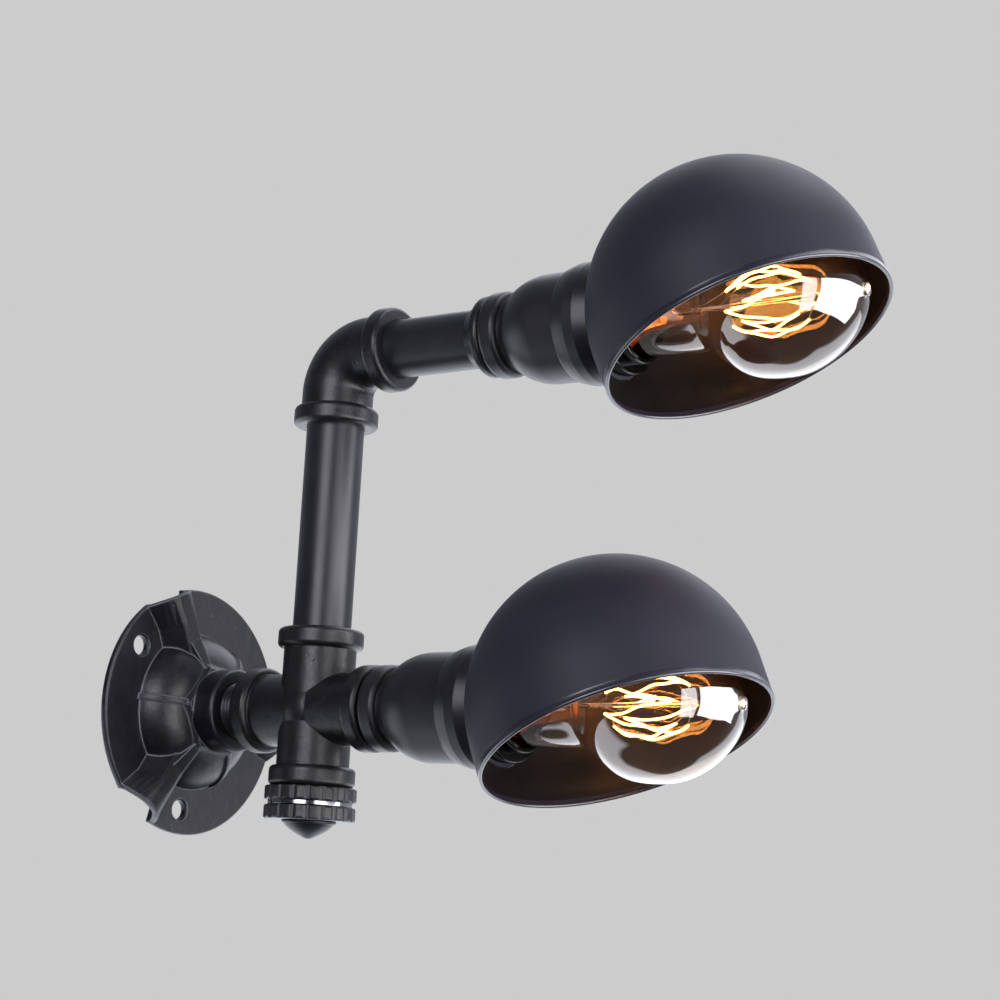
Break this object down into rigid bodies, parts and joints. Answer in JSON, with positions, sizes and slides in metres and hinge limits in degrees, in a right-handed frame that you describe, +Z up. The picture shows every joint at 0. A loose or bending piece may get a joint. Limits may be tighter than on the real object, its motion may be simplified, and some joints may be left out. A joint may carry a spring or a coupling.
{
  "type": "wall sconce",
  "caption": "Black pipe wall sconce: round cast flange, cross with knob below, two horizontal arms one above the other, each with a round open shade and a pear-shaped filament bulb.",
  "frame": {"origin": "middle of the flange, on the plane of the wall", "axes": "-Y straight out from the wall along the lower lamp, +Z up along the riser, +X to the side"},
  "size_m": [0.1303, 0.349, 0.2858],
  "materials": {
    "cast_black": "satin black paint over a sand casting",
    "pipe_black": "satin black paint",
    "holder_black": "satin black paint",
    "shade_black": "matt black paint, bright edge at the rim",
    "socket_plastic": "satin black moulded plastic",
    "brass": "bright",
    "cap_brass": "bright",
    "cap_insulator": "gloss black",
    "amber_glass": "clear amber tint",
    "clear_glass": "clear",
    "filament": "lit filament",
    "support_wire": "bright drawn wire",
    "chrome": "polished",
    "switch_plastic": "moulded",
    "steel": "zinc plated",
    "wire_cap_plastic": "moulded",
    "live_insulation": "extruded",
    "neutral_insulation": "extruded",
    "switched_insulation": "extruded",
    "earth_insulation": "extruded"
  },
  "bodies": {
    "frame": {"wall_flange": "cast_black", "pipe_cross": "cast_black", "pipe_elbow": "cast_black", "arm_collar": "cast_black", "knob_collar": "cast_black", "flange_nipple": "pipe_black", "riser_pipe": "pipe_black", "arm_pipe": "pipe_black", "lower_nipple": "pipe_black", "lower_cup": "holder_black", "upper_cup": "holder_black", "lower_shade_collar": "holder_black", "upper_shade_collar": "holder_black", "lower_socket": "socket_plastic", "upper_socket": "socket_plastic", "lower_shade_nut": "socket_plastic", "upper_shade_nut": "socket_plastic", "socket_stems": "brass", "stem_nuts": "brass", "lower_screw_shell": "brass", "upper_screw_shell": "brass", "lower_contact": "brass", "upper_contact": "brass", "knob_band": "chrome", "switch_body": "switch_plastic", "earth_screw": "steel", "wire_caps": "wire_cap_plastic", "lower_live_lead": "live_insulation", "upper_live_lead": "live_insulation", "switch_feed_lead": "live_insulation", "lower_neutral_lead": "neutral_insulation", "upper_neutral_lead": "neutral_insulation", "switch_return_lead": "switched_insulation", "earth_lead": "earth_insulation"},
    "lower_shade_body": {"lower_shade": "shade_black"},
    "upper_shade_body": {"upper_shade": "shade_black"},
    "lower_bulb_body": {"lower_bulb_cap": "cap_brass", "lower_cap_insulator": "cap_insulator", "lower_bulb_glass": "amber_glass", "lower_bulb_stem": "clear_glass", "lower_filament": "filament", "lower_filament_frame": "support_wire"},
    "upper_bulb_body": {"upper_bulb_cap": "cap_brass", "upper_cap_insulator": "cap_insulator", "upper_bulb_glass": "amber_glass", "upper_bulb_stem": "clear_glass", "upper_filament": "filament", "upper_filament_frame": "support_wire"},
    "knob_body": {"knob": "cast_black", "knob_finial": "cast_black", "switch_shaft": "steel"}
  },
  "joints": [
    {"name": "lower_shade_turn", "type": "hinge", "parent": "frame", "child": "lower_shade_body", "pos_m": [0, -0.2372, 0], "axis": [0, -1, 0], "continuous": true},
    {"name": "upper_shade_turn", "type": "hinge", "parent": "frame", "child": "upper_shade_body", "pos_m": [0.0036, -0.28487, 0.1655], "axis": [0.0175, -0.9998, 0], "continuous": true},
    {"name": "lower_bulb_turn", "type": "hinge", "parent": "frame", "child": "lower_bulb_body", "pos_m": [0, -0.2372, 0], "axis": [0, -1, 0], "range_deg": [0, 360]},
    {"name": "upper_bulb_turn", "type": "hinge", "parent": "frame", "child": "upper_bulb_body", "pos_m": [0.0036, -0.28487, 0.1655], "axis": [0.0175, -0.9998, 0], "range_deg": [0, 360]},
    {"name": "knob_turn", "type": "hinge", "parent": "frame", "child": "knob_body", "pos_m": [0, -0.0784, -0.0468], "axis": [0, 0, 1], "continuous": true}
  ]
}
